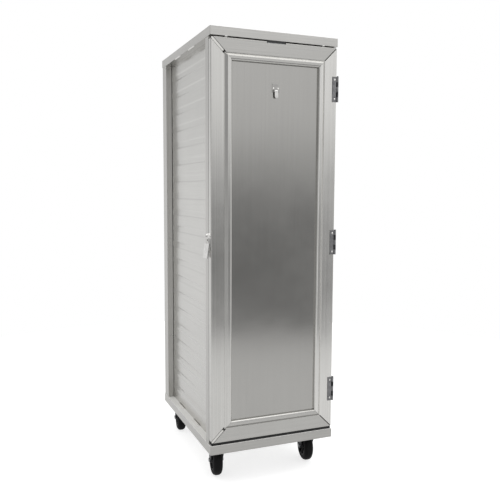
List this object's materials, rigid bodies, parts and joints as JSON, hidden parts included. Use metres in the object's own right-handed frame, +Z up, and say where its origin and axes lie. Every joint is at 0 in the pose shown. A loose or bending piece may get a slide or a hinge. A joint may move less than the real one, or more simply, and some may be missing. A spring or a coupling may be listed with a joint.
{
  "type": "enclosed sheet pan rack",
  "caption": "Tall enclosed aluminium sheet pan rack with beaded side walls, pan runners inside, a framed door on side hinges, and swivel casters.",
  "frame": {"origin": "on the floor under the middle of the cabinet", "axes": "+Z up, -Y towards the door's front, +X towards the door's hinges"},
  "size_m": [0.5609, 0.7395, 1.788],
  "materials": {
    "cabinet_aluminium": "mill finish, faintly drawn",
    "wall_aluminium": "mill finish, bright",
    "weld_aluminium": "as welded",
    "rivet_aluminium": "smooth",
    "door_aluminium": "mill finish extrusion",
    "panel_aluminium": "brushed upright",
    "key_aluminium": "dull",
    "hinge_steel": "dull grey steel",
    "bright_steel": "bright plated",
    "zinc_steel": "zinc plated",
    "catch_plastic": "matte dark grey",
    "gasket_rubber": "matte black",
    "hub_plastic": "matte black",
    "tyre_rubber": "matte black"
  },
  "bodies": {
    "cabinet": {"back_panel": "cabinet_aluminium", "base_rail_front": "cabinet_aluminium", "base_rail_left": "cabinet_aluminium", "base_rail_rear": "cabinet_aluminium", "base_rail_right": "cabinet_aluminium", "caster_bolsters": "zinc_steel", "caster_bolts": "zinc_steel", "caster_plates": "zinc_steel", "catch_magnet": "catch_plastic", "floor_sheet": "cabinet_aluminium", "frame_rivets": "rivet_aluminium", "hinge_pins": "hinge_steel", "hinge_side_leaves": "hinge_steel", "pan_runners_left": "wall_aluminium", "pan_runners_right": "wall_aluminium", "post_front_left": "cabinet_aluminium", "post_front_right": "cabinet_aluminium", "post_rear_left": "cabinet_aluminium", "post_rear_right": "cabinet_aluminium", "roof_rail_front": "cabinet_aluminium", "roof_rail_left": "cabinet_aluminium", "roof_rail_rear": "cabinet_aluminium", "roof_rail_right": "cabinet_aluminium", "side_wall_left": "wall_aluminium", "side_wall_right": "wall_aluminium", "stitch_welds": "weld_aluminium", "top_sheet": "cabinet_aluminium"},
    "door": {"catch_strike": "zinc_steel", "clip_pin": "bright_steel", "clip_plate": "bright_steel", "door_bottom_rail": "door_aluminium", "door_corner_keys": "key_aluminium", "door_gaskets": "gasket_rubber", "door_hinge_stile": "door_aluminium", "door_latch_stile": "door_aluminium", "door_panel": "panel_aluminium", "door_rivets": "rivet_aluminium", "door_top_rail": "door_aluminium", "hinge_face_leaves": "hinge_steel", "panel_retainers": "door_aluminium", "pull_bracket": "bright_steel", "pull_pin": "bright_steel"},
    "ticket_tongue": {"clip_tongue": "bright_steel"},
    "pull": {"pull_plate": "bright_steel"},
    "swivel_front_left": {"caster_fork_front_left": "zinc_steel", "caster_axle_front_left": "zinc_steel"},
    "wheel_front_left": {"caster_hub_front_left": "hub_plastic", "caster_tyre_front_left": "tyre_rubber"},
    "swivel_front_right": {"caster_fork_front_right": "zinc_steel", "caster_axle_front_right": "zinc_steel"},
    "wheel_front_right": {"caster_hub_front_right": "hub_plastic", "caster_tyre_front_right": "tyre_rubber"},
    "swivel_rear_left": {"caster_fork_rear_left": "zinc_steel", "caster_axle_rear_left": "zinc_steel"},
    "wheel_rear_left": {"caster_hub_rear_left": "hub_plastic", "caster_tyre_rear_left": "tyre_rubber"},
    "swivel_rear_right": {"caster_fork_rear_right": "zinc_steel", "caster_axle_rear_right": "zinc_steel"},
    "wheel_rear_right": {"caster_hub_rear_right": "hub_plastic", "caster_tyre_rear_right": "tyre_rubber"}
  },
  "joints": [
    {"name": "door_swing", "type": "hinge", "parent": "cabinet", "child": "door", "pos_m": [0.2703, -0.3595, 0.969], "axis": [0, 0, 1], "range_deg": [0, 255]},
    {"name": "ticket_tongue_lift", "type": "hinge", "parent": "door", "child": "ticket_tongue", "pos_m": [0, -0.3585, 1.565], "axis": [-1, 0, 0], "range_deg": [0, 75]},
    {"name": "pull_lift", "type": "hinge", "parent": "door", "child": "pull", "pos_m": [-0.2734, -0.3455, 0.986], "axis": [0, 1, 0], "range_deg": [0, 90]},
    {"name": "swivel_front_left", "type": "hinge", "parent": "cabinet", "child": "swivel_front_left", "pos_m": [-0.208, -0.264, 0.15], "axis": [0, 0, 1], "continuous": true},
    {"name": "roll_front_left", "type": "hinge", "parent": "swivel_front_left", "child": "wheel_front_left", "pos_m": [-0.20268, -0.22708, 0.063], "axis": [-0.9898, 0.1426, 0], "continuous": true},
    {"name": "swivel_front_right", "type": "hinge", "parent": "cabinet", "child": "swivel_front_right", "pos_m": [0.208, -0.264, 0.15], "axis": [0, 0, 1], "continuous": true},
    {"name": "roll_front_right", "type": "hinge", "parent": "swivel_front_right", "child": "wheel_front_right", "pos_m": [0.21332, -0.22708, 0.063], "axis": [-0.9898, 0.1426, 0], "continuous": true},
    {"name": "swivel_rear_left", "type": "hinge", "parent": "cabinet", "child": "swivel_rear_left", "pos_m": [-0.208, 0.274, 0.15], "axis": [0, 0, 1], "continuous": true},
    {"name": "roll_rear_left", "type": "hinge", "parent": "swivel_rear_left", "child": "wheel_rear_left", "pos_m": [-0.20268, 0.31092, 0.063], "axis": [-0.9898, 0.1426, 0], "continuous": true},
    {"name": "swivel_rear_right", "type": "hinge", "parent": "cabinet", "child": "swivel_rear_right", "pos_m": [0.208, 0.274, 0.15], "axis": [0, 0, 1], "continuous": true},
    {"name": "roll_rear_right", "type": "hinge", "parent": "swivel_rear_right", "child": "wheel_rear_right", "pos_m": [0.21332, 0.31092, 0.063], "axis": [-0.9898, 0.1426, 0], "continuous": true}
  ]
}
